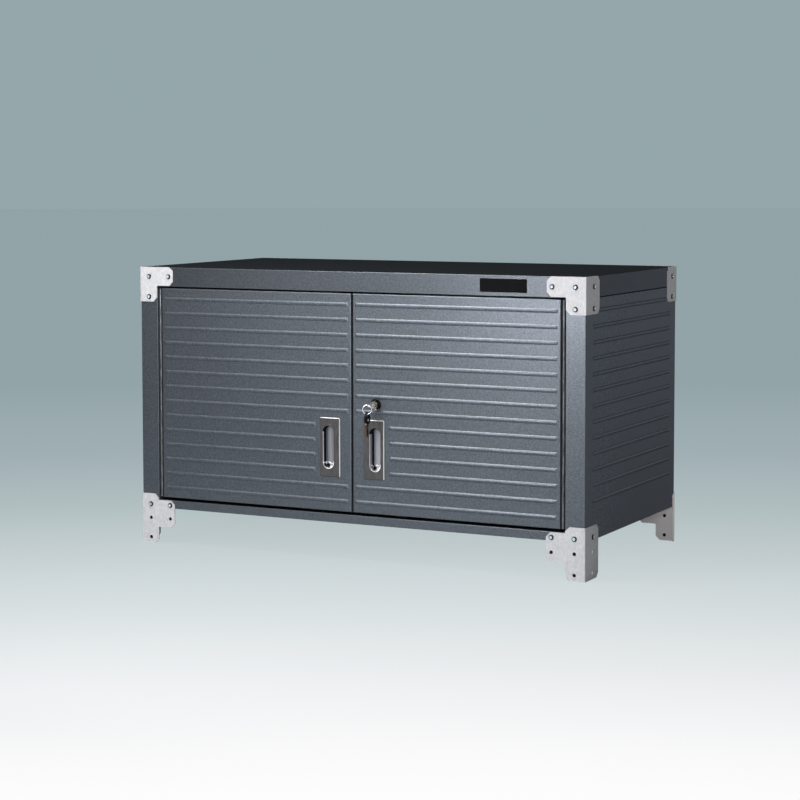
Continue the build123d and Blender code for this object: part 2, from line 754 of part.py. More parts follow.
ring_along = Vector(-cos(radians(ring_turn)), -sin(radians(ring_turn)), 0)
ring_above_key = key_thickness / 2 + ring_rest + ring_wire
ring_middle = (
    Vector(lock_x, eye_y, lock_z)
    + ring_along * (eye_radius + eye_web / 2)
    + Vector(0, 0, ring_above_key - ring_radius)
)
spare_eye = ring_middle - Vector(0, 0, ring_radius + cover_eye_radius - ring_wire - cover_rest)


def make_key_ring():
    """The ring hangs by the web of the key's eye."""
    across = Vector(-ring_along.Y, ring_along.X, 0)
    return Plane(origin=ring_middle, x_dir=ring_along, z_dir=across) * Torus(ring_radius, ring_wire)


def hang_spare(shape):
    """Hang a key shape by its eye on the foot of the ring, edge to the door."""
    return Plane(origin=spare_eye, x_dir=(0, 0, -1), z_dir=(1, 0, 0)) * shape


def tang(gap):
    """The part of the spare key inside its cover, grown by a gap on every side."""
    half = tang_width / 2 + gap
    thick = key_thickness / 2 + gap
    return block(tang_start - gap, bow_end - seat + gap, -half, half, -thick, thick)


def make_spare_key():
    """The metal of the spare key: the blade, and the tang inside its moulded bow."""
    return hang_spare(tang(0) + key_blade(spare_blade_length))


def make_spare_key_cover():
    """The moulded bow of the spare key, closed round the tang."""
    cover = extrude(bow_outline(), amount=cover_thickness / 2, both=True)
    cover -= Cylinder(cover_eye_radius, 2 * cover_thickness)
    rims = cover.edges().group_by(Axis.Z)
    cover = chamfer(rims[-1] + rims[0], cover_chamfer)
    return hang_spare(cover - tang(seat))


# ---- Catches, stops and badge plate -------------------------------------------------------
def make_right_magnet_catch():
    """A magnet block under the top rail's lip, behind the door."""
    front = door_depth + seat + strike_thickness + strike_gap
    z1 = rail_z - seat
    x0 = magnet_x - magnet_width / 2
    body = block(x0, x0 + magnet_width, front, front + magnet_depth, z1 - magnet_height, z1)
    lower = body.edges().filter_by(Axis.X).group_by(Axis.Z)[0]
    return chamfer(lower, block_chamfer)


def make_right_strike_plate():
    """The steel plate on the door's upper lip that meets the magnet."""
    front = door_depth + seat
    x0 = magnet_x - strike_width / 2
    z1 = door_top - strike_below_top
    return block(x0, x0 + strike_width, front, front + strike_thickness, z1 - strike_height, z1)


def make_right_door_stop():
    """A rubber block on the bottom rail's return, which the door's lower lip meets."""
    front = door_depth + strike_gap
    foot = floor_z + bottom_rail_height + seat
    x0 = stop_x - stop_width / 2
    stop = block(x0, x0 + stop_width, front, front + stop_depth, foot, foot + stop_height)
    upper = stop.edges().filter_by(Axis.X).group_by(Axis.Z)[-1]
    return chamfer(upper, block_chamfer)


def make_badge_plate():
    """A bare black plate on the top rail."""
    x0 = badge_x - badge_width / 2
    z0 = (rail_z + top_z - badge_height) / 2
    plate = block(x0, x0 + badge_width, -seat - badge_thickness, -seat, z0, z0 + badge_height)
    plate = fillet(plate.edges().filter_by(Axis.Y), badge_corner)
    return chamfer(plate.edges().group_by(Axis.Y)[0], badge_bevel)


# ---- Corner brackets ----------------------------------------------------------------------
def top_face_outline():
    """The L of a top bracket, as (x, z), from its outer edge."""
    inner = outer_x - bracket_width
    arm = outer_x - bracket_arm
    low = top_z - top_bracket_arm
    foot = top_z - top_bracket_height
    cut = bracket_chamfer
    return [
        (outer_x, top_z),
        (inner + cut, top_z),
        (inner, top_z - cut),
        (inner, low + cut),
        (inner + cut, low),
        (arm, low),
        (arm, foot + cut),
        (arm + cut, foot),
        (outer_x, foot),
    ]


def foot_face_outline():
    """The face of a foot bracket, as (x, z): a leg, with an arm across the body's floor."""
    inner = outer_x - bracket_width
    arm = outer_x - bracket_arm
    high = floor_z + foot_arm_top
    low = floor_z + foot_arm_bottom
    top = floor_z + foot_bracket_rise
    cut = bracket_chamfer
    return [
        (outer_x, 0),
        (arm + cut, 0),
        (arm, cut),
        (arm, low),
        (inner + cut, low),
        (inner, low + cut),
        (inner, high - cut),
        (inner + cut, high),
        (arm, high),
        (arm, top - cut),
        (arm + cut, top),
        (outer_x, top),
    ]


def side_outline(length, z0, z1, cut):
    """A bracket's side plate, as (y, z), from its fold at the front."""
    y0 = -outer_y
    y1 = y0 + length
    return [(y0, z0), (y1 - cut, z0), (y1, z0 + cut), (y1, z1 - cut), (y1 - cut, z1), (y0, z1)]


def folded_bracket(face, side, face_holes, side_holes):
    """A right-hand front bracket: a face plate and a side plate joined by one bend."""
    bracket = outline_y(face, -outer_y, -seat) + outline_x(side, half_width + seat, outer_x)
    corner = bracket.edges().filter_by(Axis.Z).sort_by(lambda fold: fold.center().X - fold.center().Y)
    bracket = fillet(corner[-1], bracket_bend)
    cuts = [rod_y(x, -outer_y - over, 0, z, hole_radius) for x, z in face_holes]
    cuts += [rod_x(half_width, outer_x + over, y, z, hole_radius) for y, z in side_holes]
    return bracket - cuts


def make_top_bracket(plate):
    holes = [(plate - outer_y - side_hole_setback, z) for z in top_rows]
    side = side_outline(plate, top_z - top_bracket_height, top_z, bracket_chamfer)
    return folded_bracket(top_face_outline(), side, top_face_screws, holes)


def make_front_foot():
    holes = [(front_side_hole_y, z) for z in foot_rows]
    side = side_outline(front_side_plate, 0, floor_z + foot_bracket_rise, bracket_chamfer)
    return folded_bracket(foot_face_outline(), side, foot_face_screws + foot_face_open, holes)


def make_rear_foot():
    side = side_outline(rear_foot_flange, 0, floor_z + foot_bracket_rise, flange_chamfer)
    return folded_bracket(foot_face_outline(), side, foot_face_screws + foot_face_open, [])


def to_back(shape):
    """The copy of a front piece that stands at the back."""
    return Pos(0, body_depth, 0) * mirror(shape, about=Plane.XZ)


def make_bracket_screws():
    """All the pan-head screws that hold the brackets, each a solid of its own."""
    profile = [
        (0, -screw_length),
        (screw_radius, -screw_length),
        (screw_radius, 0),
        (screw_head_radius, 0),
        (screw_head_radius, screw_rim_height),
        (screw_shoulder_radius, screw_shoulder_height),
        (screw_crown_radius, screw_head_height),
        (0, screw_head_height),
    ]
    half_section = make_face(Polyline(*[(r, 0, z) for r, z in profile], close=True))
    screw = revolve(half_section, Axis.Z)
    return [screw_frame(place) * screw for place in screw_places()]


# ---- Assembly -----------------------------------------------------------------------------
def assemble():
    """Every node's shape, with the cabinet's front face on Y = 0."""
    nodes = {
        "top_panel": make_top_panel(),
        "bottom_panel": make_bottom_panel(),
        "back_panel": make_back_panel(),
        "upper_wall_rail": make_wall_rail(upper_wall_rail),
        "lower_wall_rail": make_wall_rail(lower_wall_rail),
        "shelf": make_shelf(),
        "lock_body": make_lock_body(),
        "lock_nut": make_lock_nut(),
        "lock_plug": make_lock_plug(),
        "lock_cam": make_lock_cam(),
        "cam_screw": make_cam_screw(),
        "key": make_key(),
        "key_ring": make_key_ring(),
        "spare_key": make_spare_key(),
        "spare_key_cover": make_spare_key_cover(),
        "badge_plate": make_badge_plate(),
        "bracket_screws": make_bracket_screws(),
    }
    middles = {"front": standard_front + standard_width / 2, "rear": body_depth - standard_back}
    clips = [make_shelf_clip(y) for y in middles.values()]
    nodes["shelf_clips"] = clips + [other_side(clip) for clip in clips]
    pairs = {
        "side_panel": make_right_side_panel(),
        "front_shelf_standard": make_shelf_standard(middles["front"]),
        "rear_shelf_standard": make_shelf_standard(middles["rear"]),
        "door_stiffener": make_door_stiffener(),
        "handle": make_handle(),
        "handle_screws": make_handle_screws(),
        "hinge_post_leaf": make_hinge_leaf(on_post=True),
        "hinge_door_leaf": make_hinge_leaf(on_post=False),
        "hinge_pin": make_hinge_pin(),
        "magnet_catch": make_right_magnet_catch(),
        "strike_plate": make_right_strike_plate(),
        "door_stop": make_right_door_stop(),
        "top_front_bracket": make_top_bracket(front_side_plate),
        "top_rear_bracket": to_back(make_top_bracket(rear_side_plate)),
        "front_foot": make_front_foot(),
        "rear_foot": to_back(make_rear_foot()),
    }
    for name, shape in pairs.items():
        solids = shape if isinstance(shape, list) else [shape]
        nodes["right_" + name] = shape
        nodes["left_" + name] = [other_side(solid) for solid in solids]
    nodes["right_door"] = make_right_door(with_lock=True)
    nodes["left_door"] = other_side(make_right_door(with_lock=False))
    return nodes


def as_group(shape):
    """One compound of a node's separate solids."""
    parts = shape if isinstance(shape, list) else [shape]
    return Compound([solid for part in parts for solid in part.solids()])


def main():
    os.makedirs("parts", exist_ok=True)
    nodes = {name: as_group(shape) for name, shape in assemble().items()}
    box = Compound(list(nodes.values())).bounding_box()
    # The origin is the middle of the footprint, on the surface under the feet.
    to_origin = Pos(0, -(box.min.Y + box.max.Y) / 2, 0)
    for name, group in nodes.items():
        export_step(to_origin * group, os.path.join("parts", name + ".step"))
    print("front face at y", round(to_origin.position.Y, 3))


main()
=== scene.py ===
# %% [markdown]
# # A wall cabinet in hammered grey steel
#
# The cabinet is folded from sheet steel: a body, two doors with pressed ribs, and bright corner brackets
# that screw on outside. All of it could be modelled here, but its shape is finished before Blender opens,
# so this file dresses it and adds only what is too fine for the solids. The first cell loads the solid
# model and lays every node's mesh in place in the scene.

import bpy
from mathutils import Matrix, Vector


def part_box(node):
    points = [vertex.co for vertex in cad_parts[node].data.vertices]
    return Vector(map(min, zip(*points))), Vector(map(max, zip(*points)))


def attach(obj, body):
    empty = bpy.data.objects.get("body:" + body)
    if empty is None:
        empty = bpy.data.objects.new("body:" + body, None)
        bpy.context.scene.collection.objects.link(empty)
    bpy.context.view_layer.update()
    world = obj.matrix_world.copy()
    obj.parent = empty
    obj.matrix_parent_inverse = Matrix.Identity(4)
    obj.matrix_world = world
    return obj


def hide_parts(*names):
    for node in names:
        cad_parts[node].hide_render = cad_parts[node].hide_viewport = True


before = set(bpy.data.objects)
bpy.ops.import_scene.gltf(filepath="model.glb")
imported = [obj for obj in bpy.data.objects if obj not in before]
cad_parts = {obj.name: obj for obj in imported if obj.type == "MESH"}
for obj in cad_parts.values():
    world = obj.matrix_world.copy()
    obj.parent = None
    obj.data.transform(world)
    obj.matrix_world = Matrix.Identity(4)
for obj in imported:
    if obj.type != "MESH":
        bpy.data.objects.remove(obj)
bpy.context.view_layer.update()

# %% [markdown]
# ## The camera
#
# A cabinet this wide is usually taken from one side with a long lens, so that its front stays
# nearly square and one end shows. The camera could be aimed at an empty by a constraint, but
# three angles in radians say exactly how it stands. The lens is about 95 mm on a 36 mm frame. The
# upright edges stay almost parallel because the camera hardly tips down: the frame is slid down
# with the lens's shift instead, as a view camera does it.

# %% Stand the camera in front and to the right
import bpy
from math import cos, pi, radians, sin
from mathutils import Euler, Matrix, Vector

front_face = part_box("right_side_panel")[0].y
to_the_right = 1.8125
in_front = 3.37384
above_floor = 0.71433
turn_left = 0.47033
tip_down = 0.07094
roll = -0.00123

lens = bpy.data.cameras.new("camera")
lens.sensor_width = 36
lens.lens = 94.962
lens.shift_x = 0.00074
lens.shift_y = -0.10
camera = bpy.data.objects.new("camera", lens)
eye = Vector((to_the_right, front_face - in_front, above_floor))
level = Euler((pi / 2 - tip_down, 0, turn_left)).to_matrix()
camera.matrix_world = Matrix.Translation(eye) @ (level @ Matrix.Rotation(roll, 3, "Z")).to_4x4()
bpy.context.scene.collection.objects.link(camera)
bpy.context.scene.camera = camera
bpy.context.scene.view_settings.view_transform = "Standard"
print("camera stands", round(eye.length, 2), "m from the foot of the cabinet's middle")

# %% [markdown]
# ## Writing materials as sums
#
# A finish is a small network of nodes. Wiring it by hand takes many lines, so two small classes
# do the wiring. `Wire` holds one socket, and Python's own operators on it add Math nodes:
# `0.3 + 0.1 * grain` is two nodes. `Network` is a tree of nodes, and its `node` method makes
# every other kind of node from its type, its settings and what goes into its sockets.

# %% One wire, and the sums on it
class Wire:
    """One value inside a network of nodes. Sums on it add Math nodes."""

    def __init__(self, network, socket):
        self.network = network
        self.socket = socket

    def maths(self, operation, *values):
        settings = {"operation": operation}
        return self.network.node("ShaderNodeMath", settings, dict(enumerate(values)))

    def __add__(self, other):
        return self.maths("ADD", self, other)

    def __radd__(self, other):
        return self.maths("ADD", other, self)

    def __sub__(self, other):
        return self.maths("SUBTRACT", self, other)

    def __rsub__(self, other):
        return self.maths("SUBTRACT", other, self)

    def __mul__(self, other):
        return self.maths("MULTIPLY", self, other)

    def __rmul__(self, other):
        return self.maths("MULTIPLY", other, self)

    def __truediv__(self, other):
        return self.maths("DIVIDE", self, other)

    def __rtruediv__(self, other):
        return self.maths("DIVIDE", other, self)

    def __abs__(self):
        return self.maths("ABSOLUTE", self)

    def __gt__(self, other):
        return self.maths("GREATER_THAN", self, other)

    def __lt__(self, other):
        return self.maths("LESS_THAN", self, other)


print("a Wire takes + - * / abs > <")

# %% A network of nodes, and one finish
class Network:
    """A tree of nodes. `node` makes any node: its settings first, then what its sockets take."""

    def __init__(self, tree):
        self.tree = tree

    def node(self, kind, settings, sockets, output=0):
        made = self.tree.nodes.new(kind)
        for name, value in settings.items():
            if name == "stops":
                self.set_stops(made.color_ramp, value)
            else:
                setattr(made, name, value)
        for key, value in sockets.items():
            if isinstance(value, Wire):
                self.tree.links.new(value.socket, made.inputs[key])
            else:
                made.inputs[key].default_value = value
        if made.outputs:
            return Wire(self, made.outputs[output])

    def set_stops(self, ramp, stops):
        while len(ramp.elements) < len(stops):
            ramp.elements.new(1)
        for element, (place, colour) in zip(ramp.elements, stops):
            element.position = place
            element.color = (*colour, 1)


class Finish(Network):
    """One material. Its plain numbers sit on the shader; what varies comes through wires."""

    def __init__(self, name, **constants):
        self.material = bpy.data.materials.new(name)
        self.material.use_nodes = True
        super().__init__(self.material.node_tree)
        self.shader = self.tree.nodes["Principled BSDF"]
        for socket, value in constants.items():
            self.shader.inputs[socket.replace("_", " ")].default_value = value

    def feed(self, **wires):
        for socket, wire in wires.items():
            self.tree.links.new(wire.socket, self.shader.inputs[socket.replace("_", " ")])


print("a Finish starts as a plain Principled shader")

# %% [markdown]
# ## Patterns that the finishes share
#
# Grain, pebble and brushing are all noise of some size, and the rest depends on where a point
# lies and which way its face looks. A painted picture could hold them, but it would need
# unwrapping and would blur close up. Set out on the object's own coordinates, in metres, a grain
# of 3 mm is 3 mm on a door and on a foot alike, and it travels with a door as it opens.

# %% Noise, places and the way a face looks
def speckle(finish, size, detail=2.0, stretch=(1, 1, 1)):
    """Cloudy noise with blobs of about that size in metres; 0 to 1, mostly near 0.5."""
    place = finish.node("ShaderNodeTexCoord", {}, {}, "Object")
    scaled = finish.node("ShaderNodeVectorMath", {"operation": "MULTIPLY"}, {0: place, 1: stretch})
    sockets = {"Vector": scaled, "Scale": 1 / size, "Detail": detail}
    return finish.node("ShaderNodeTexNoise", {}, sockets)


def spot(finish, axis):
    """Where the shaded point lies along X, Y or Z of its own piece, in metres."""
    place = finish.node("ShaderNodeTexCoord", {}, {}, "Object")
    return finish.node("ShaderNodeSeparateXYZ", {}, {0: place}, axis)


def facing(finish, axis):
    """How far the flat face under a point looks along X, Y or Z: 1 is straight on, 0.7 is at 45 degrees."""
    normal = finish.node("ShaderNodeNewGeometry", {}, {}, "True Normal")
    return finish.node("ShaderNodeSeparateXYZ", {}, {0: normal}, axis)


print("coordinates are in metres, faces look along X, Y or Z")

# %% Comparing, blending and raising
def lower(first, second):
    """The smaller of two values; of two masks, where both are 1."""
    return first.maths("MINIMUM", first, second)


def higher(first, second):
    """The larger of two values; of two masks, where either is 1."""
    return first.maths("MAXIMUM", first, second)


def away(first, second):
    """How far a point is from where both values are 0, as a length on squared paper."""
    return first.maths("SQRT", first * first + second * second)


def blend(finish, mask, first, second):
    """The first colour where the mask is 0, the second where it is 1."""
    first, second = (c if isinstance(c, Wire) else (*c, 1) for c in (first, second))
    return finish.node("ShaderNodeMix", {"data_type": "RGBA"}, {"Factor": mask, 6: first, 7: second}, 2)


def contrast(finish, wire, low=0.35, high=0.65):
    """Stretches the part of a pattern from low to high over 0 to 1 and cuts the rest off."""
    sockets = {"Value": wire, "From Min": low, "From Max": high}
    return finish.node("ShaderNodeMapRange", {"clamp": True}, sockets)


def bump(finish, height, depth):
    """A normal that tilts as if the surface rose by depth, in metres, where height is 1."""
    return finish.node("ShaderNodeBump", {}, {"Height": height, "Distance": depth})


black = (0.0, 0.0, 0.0)
near_black = (0.0017, 0.0017, 0.0017)
print("patterns ready; the darkest paint is", near_black[0], "of white")

# %% [markdown]
# ## Graphite powder coat
#
# The sheet steel is coated with a dark grey powder that holds aluminium flake. Baked, it is a
# skin with a slight pebble of a few millimetres and a satin sheen: near black seen along its
# face, and much lighter where it throws a lamp back. One flat grey would look like card. The
# metallic share of the shader gives the sheen, and noise of two sizes gives flake and pebble.
#
# The two ends of the cabinet are lit softly and show hardly any grain, so there the mottle is
# spread thin, the pebble is left out and the paint is rougher.

# %% Graphite: flake, pebble and sheen
graphite = Finish("graphite_paint", Metallic=0.80, Specular_IOR_Level=0.5,
                  Specular_Tint=(0.05, 0.05, 0.05, 1))
flake = speckle(graphite, size=0.0017, detail=3.0)
pebble = speckle(graphite, size=0.0040, detail=1.0)
cloud = speckle(graphite, size=0.09)
on_end = abs(facing(graphite, "X")) > 0.7
spread = 0.4 * on_end
mottle = contrast(graphite, 0.7 * flake + 0.3 * pebble, low=0.36 - spread, high=0.64 + spread)
dark_flake = (0.070, 0.077, 0.089)
light_flake = (0.130, 0.143, 0.164)
paint_tone = blend(graphite, mottle, dark_flake, light_flake)
skin = pebble * (1 - on_end)
graphite.feed(Roughness=0.34 + 0.07 * skin + 0.04 * cloud + 0.26 * on_end)
graphite.feed(Normal=bump(graphite, skin, depth=0.00010))
print("graphite is", light_flake[0], "of white where the flake lies bright")

# %% [markdown]
# ## The top tray and the seam under its edge
#
# The top is a tray of its own, and its skirt is folded down over the two ends, so a fine line of shade runs
# under its edge there. Level faces mirror the unlit ceiling and look almost black. A ceiling and a modelled
# gap could give both, but painted shade gives them more simply: the paint is darkened where a face lies
# level, a little over the whole tray above the seam, and to near black in the seam itself.

# %% Graphite: painted shade on level faces, the tray and the seam
tray_low, tray_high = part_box("top_panel")
seam_depth = 0.0024
end_margin = 0.003
level_shade_share = 0.8
tray_shade_share = 0.22
# painted shade: level faces are darkened towards this tone, standing in for the unlit ceiling they mirror
level_shade_tone = (0.0167, 0.0167, 0.020)
lies_level = facing(graphite, "Z") > 0.9
height = spot(graphite, "Z")
on_tray = height > tray_low.z
# painted shadow in the narrow gap under the tray's skirt, on the two ends only
below_tray = lower(height > tray_low.z - seam_depth, height < tray_low.z)
seam_shadow = below_tray * (abs(spot(graphite, "X")) > tray_high.x - end_margin)
paint_tone = blend(graphite, level_shade_share * lies_level, paint_tone, level_shade_tone)
# painted shade: the tray above the seam is darkened a little, and the seam under its skirt to near black
paint_tone = blend(graphite, higher(tray_shade_share * on_tray, seam_shadow), paint_tone, near_black)
graphite.feed(Base_Color=paint_tone)
print("seam runs at z =", round(tray_low.z, 4), "; graphite nodes:", len(graphite.tree.nodes))

# %% [markdown]
# ## Zinc on the brackets
#
# The corner brackets are pressed from thicker strip and zinc plated. Fresh zinc is bright, but
# on these it has gone to a pale, dull grain. A fully metallic shader would mirror the room and
# turn dark in places, so only a small share is metallic, and the rest is a light grey with fine
# streaks down the strip and a coarser spangle over them.
#
# The plates round the cabinet's ends stand in its shade and are painted a little darker as shade. The rear
# feet under the cabinet are painted lighter and warmer, as painted light standing in for light thrown up
# from the floor.

# %% Zinc: streaks and spangle
zinc = Finish("zinc_steel", Metallic=0.12, Specular_IOR_Level=0.2)
streak = speckle(zinc, size=0.0011, stretch=(1, 1, 0.12))
spangle = speckle(zinc, size=0.006)
shade = contrast(zinc, 0.6 * streak + 0.4 * spangle)
dull_zinc = (0.395, 0.390, 0.405)
pale_zinc = (0.520, 0.513, 0.530)
zinc_tone = blend(zinc, shade, dull_zinc, pale_zinc)
zinc.feed(Roughness=0.50 + 0.12 * shade)
zinc.feed(Normal=bump(zinc, streak, depth=0.00002))
print("zinc runs from", dull_zinc[0], "to", pale_zinc[0], "of white")

# %% Zinc: the end plates and the rear feet
# painted light on the rear feet, in place of light thrown up by the floor under the cabinet
rear_foot_light_tone = (0.92, 0.87, 0.85)
rear_foot_light_share = 0.8
shaded_share = 0.28
foot_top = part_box("left_rear_foot")[1].z
on_end_plate = abs(facing(zinc, "X")) > 0.8
on_rear_foot = lower(spot(zinc, "Y") > 0.0, spot(zinc, "Z") < foot_top)
rear_foot_painted_light = lower(on_rear_foot, higher(facing(zinc, "Y") < -0.8, on_end_plate))
zinc_tone = blend(zinc, shaded_share * on_end_plate, zinc_tone, black)
zinc.feed(Base_Color=blend(zinc, rear_foot_light_share * rear_foot_painted_light, zinc_tone, rear_foot_light_tone))
print("rear feet end at z =", round(foot_top, 4))

# %% [markdown]
# ## Steel of the hinges
#
# The knuckles of the two piano hinges show as a fine strip beside each door. They are plated
# like the brackets but rub and gather dirt, so they are darker and shinier. One noise, stretched
# along the pin, both mottles the steel and varies its polish.

# %% Hinge steel
hinge_zinc = Finish("hinge_steel", Metallic=0.8)
rub = speckle(hinge_zinc, size=0.0016, stretch=(1, 1, 0.1))
dirty_knuckle = (0.045, 0.048, 0.053)
rubbed_knuckle = (0.140, 0.146, 0.156)
hinge_zinc.feed(Base_Color=blend(hinge_zinc, contrast(hinge_zinc, rub), dirty_knuckle, rubbed_knuckle))
hinge_zinc.feed(Roughness=0.34 + 0.14 * rub)
print("hinge steel nodes:", len(hinge_zinc.tree.nodes))

# %% [markdown]
# ## Nickel on the handles
#
# Each flush handle is a plate with a deep finger cup. The plate is brushed up and down and has
# gone dark and slightly brown. Brushing could be a picture of fine lines, but noise stretched
# along the brush's path gives the same, and it needs no unwrapping.

# %% Brushed handle plate
handle_nickel = Finish("handle_nickel", Specular_IOR_Level=0.05)
brush = contrast(handle_nickel, speckle(handle_nickel, size=0.0007, stretch=(1, 1, 0.05)))
brown_nickel = (0.070, 0.066, 0.068)
grey_nickel = (0.108, 0.103, 0.106)
plate_tone = blend(handle_nickel, brush, brown_nickel, grey_nickel)
handle_nickel.feed(Roughness=0.30 + 0.14 * brush)
print("brushed plate from", brown_nickel[0], "to", grey_nickel[0], "of white")

# %% [markdown]
# ## What the finger cups mirror
#
# A polished cup mirrors a whole room: a bright rim on one side, a dark band, then a pale wall.
# That room could be modelled, but nothing else here would use it, so its reflections are painted into the
# cup's finish. Everything is measured from the cup's own middle in cup radii: `across` runs from -1 at one
# side to 1 at the other, `past_end` is how far a point lies beyond the straight part, and `slant` lets the
# stripes lean as the wall of the cup goes deeper. At the foot lie a painted dark reflection and a few
# painted glints, and round the head a painted shadow arc. The left cup is painted a third darker, as
# painted shade.

# %% Find the cup
cup_x = 0.0482
cup_radius = 0.01175
cup_half = 0.02825
cup_lip = 1.03
lip_depth = 0.0009
plate_low, plate_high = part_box("right_handle")
plate_z = (plate_low.z + plate_high.z) / 2
along = spot(handle_nickel, "X")
up = spot(handle_nickel, "Z") - plate_z
depth = spot(handle_nickel, "Y") - plate_low.y
hand = along.maths("SIGN", along)
across = (along - cup_x * hand) / cup_radius
past_end = higher(abs(up) - cup_half, 0.0) / cup_radius
from_middle = away(across, past_end)
in_cup = lower(from_middle < cup_lip, depth > lip_depth)
print("cup pattern is set round z =", round(plate_z, 4))

# %% Stripes down the cup
slant = 0.51
shift = 0.15
left_shade = 0.33
stripe = across + slant * depth / cup_radius
cup_stops = [
    (0.00, (0.150, 0.155, 0.168)), (0.18, (0.150, 0.150, 0.160)), (0.20, near_black),
    (0.35, near_black), (0.38, (0.092, 0.088, 0.088)), (0.50, (0.125, 0.142, 0.192)),
    (0.60, (0.217, 0.225, 0.258)), (0.80, (0.300, 0.297, 0.317)), (1.00, (0.267, 0.263, 0.275)),
]
stripe_part = 0.5 * (stripe - shift * hand) + 0.5
cup_tone = handle_nickel.node("ShaderNodeValToRGB", {"stops": cup_stops}, {0: stripe_part})
# painted shade: the left cup is darkened by a third
cup_tone = blend(handle_nickel, left_shade * (hand < 0), cup_tone, black)
print("stripes:", len(cup_stops))

# %% Painted glints and a painted dark reflection at the foot of the cup
glint_highlight_tone = (0.567, 0.567, 0.583)
glint_from = 0.52
drop = 0.13
pit_middle = 0.42
at_foot = up < -cup_half
# painted highlights: glints scattered over the cup's foot
painted_glint = lower(at_foot, speckle(handle_nickel, size=0.0028) > glint_from)
foot_line = past_end - drop * depth / cup_radius
off_pit = foot_line - pit_middle
# painted reflection: a dark patch low in the cup's foot
dark_reflection_at_foot = contrast(handle_nickel, stripe * stripe + off_pit * off_pit, low=0.26, high=0.05)
cup_tone = blend(handle_nickel, painted_glint, cup_tone, glint_highlight_tone)
cup_tone = blend(handle_nickel, lower(at_foot, dark_reflection_at_foot), cup_tone, near_black)
pit_drop = cup_half + pit_middle * cup_radius
print("the pit lies", round(1000 * pit_drop, 1), "mm below the cup's middle")

# %% The cup's painted bright rim and the painted shadow round its head
rim_highlight_tone = (0.95, 0.95, 0.95)
head_shadow_tone = (0.0067, 0.0067, 0.0067)
rim_side = -0.80
rim_foot = 0.90
rim_head = 0.80
# painted highlight along the rim, and painted shadow in an arc round the cup's head
rim_highlight = higher(stripe < rim_side, lower(at_foot, away(stripe, foot_line) > rim_foot))
head_shadow_arc = lower(up > cup_half, from_middle > rim_head)
cup_tone = blend(handle_nickel, rim_highlight, cup_tone, rim_highlight_tone)
cup_tone = blend(handle_nickel, head_shadow_arc, cup_tone, head_shadow_tone)
print("rim is", rim_highlight_tone[0], "of white, head", head_shadow_tone[0])

# %% [markdown]
# ## The handle's bright edge
#
# The plate's edge is bevelled, and on the right and along the top it throws the light straight
# back. A bevel that narrow could wait for a lamp in just the right place. It is laid into the
# finish too, so that it stays a fine even line, and then plate, cup and edge are put together.

# %% The whole handle
plate_x = 0.0455
half_wide = 0.021
half_tall = (plate_high.z - plate_low.z) / 2
bevel = 0.0011
# painted highlight along the plate's right and top bevel
bevel_highlight_tone = (0.700, 0.683, 0.667)
on_right_bevel = along - plate_x * hand > half_wide - bevel
on_bevel = higher(on_right_bevel, up > half_tall - bevel)
handle_tone = blend(handle_nickel, in_cup, plate_tone, cup_tone)
handle_nickel.feed(Base_Color=blend(handle_nickel, on_bevel, handle_tone, bevel_highlight_tone))
handle_nickel.feed(Metallic=0.7 - 0.4 * higher(in_cup, on_bevel))
print("handle nodes:", len(handle_nickel.tree.nodes))

# %% [markdown]
# ## Nickel on the lock, its keys and the ring
#
# The lock's head, its bezel, both keys and the ring share one polished plating, though they look quite
# different: the head is cloudy and brown with painted highlights, the bezel's upper right has a painted
# dark reflection and all turned sides painted shade, the ring is bright, and the spare key's blade is
# copper-brown.
# They could be five materials, but they are one slot in the cabinet's record, so one finish
# tells them apart by where a point lies.

# %% The lock's cloudy face
lock_nickel = Finish("lock_nickel", Metallic=1.0)
polish = speckle(lock_nickel, size=0.0035, detail=1.0)
brown_cloud = (0.18, 0.15, 0.115)
yellow_cloud = (0.60, 0.54, 0.46)
# painted highlights: the brightest parts of the head's cloudy polish are lifted nearly to white
highlight_patch = (0.95, 0.94, 0.92)
patch_from = 0.56
lock_tone = blend(lock_nickel, polish, brown_cloud, yellow_cloud)
lock_tone = blend(lock_nickel, polish > patch_from, lock_tone, highlight_patch)
lock_nickel.feed(Roughness=0.12 + 0.12 * polish)
print("lock face from", brown_cloud[0], "to", highlight_patch[0], "of white")

# %% Painted dark reflection on the bezel and painted shade on the turned sides
plug_low, plug_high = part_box("lock_plug")
bezel_inner = 0.0070
dim_slope = 0.8
dark_reflection_tone = (0.004, 0.004, 0.004)
turned_shade_tone = (0.033, 0.030, 0.025)
lock_x = spot(lock_nickel, "X") - (plug_low.x + plug_high.x) / 2
lock_z = spot(lock_nickel, "Z") - (plug_low.z + plug_high.z) / 2
# painted reflection: the bezel's upper right is painted near black, as it mirrors the dark
bezel_dark_reflection = lower(away(lock_x, lock_z) > bezel_inner, lock_x + dim_slope * lock_z > 0.0)
# painted shade: the lock's sides, turned away from the front, are darkened
turned_side = facing(lock_nickel, "Y") > -0.35
lock_tone = blend(lock_nickel, bezel_dark_reflection, lock_tone, dark_reflection_tone)
lock_tone = blend(lock_nickel, turned_side, lock_tone, turned_shade_tone)
print("the bezel starts", 1000 * bezel_inner, "mm from the key")

# %% The ring and the spare key's blade
ring_tone = (0.833, 0.833, 0.867)
blade_tone = (0.167, 0.108, 0.075)
cover_low, cover_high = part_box("spare_key_cover")
hangs = spot(lock_nickel, "Y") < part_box("key_ring")[1].y
on_blade = lower(hangs, spot(lock_nickel, "Z") < cover_low.z)
lock_tone = blend(lock_nickel, hangs, lock_tone, ring_tone)
lock_nickel.feed(Base_Color=blend(lock_nickel, on_blade, lock_tone, blade_tone))
print("blade starts below z =", round(cover_low.z, 4))

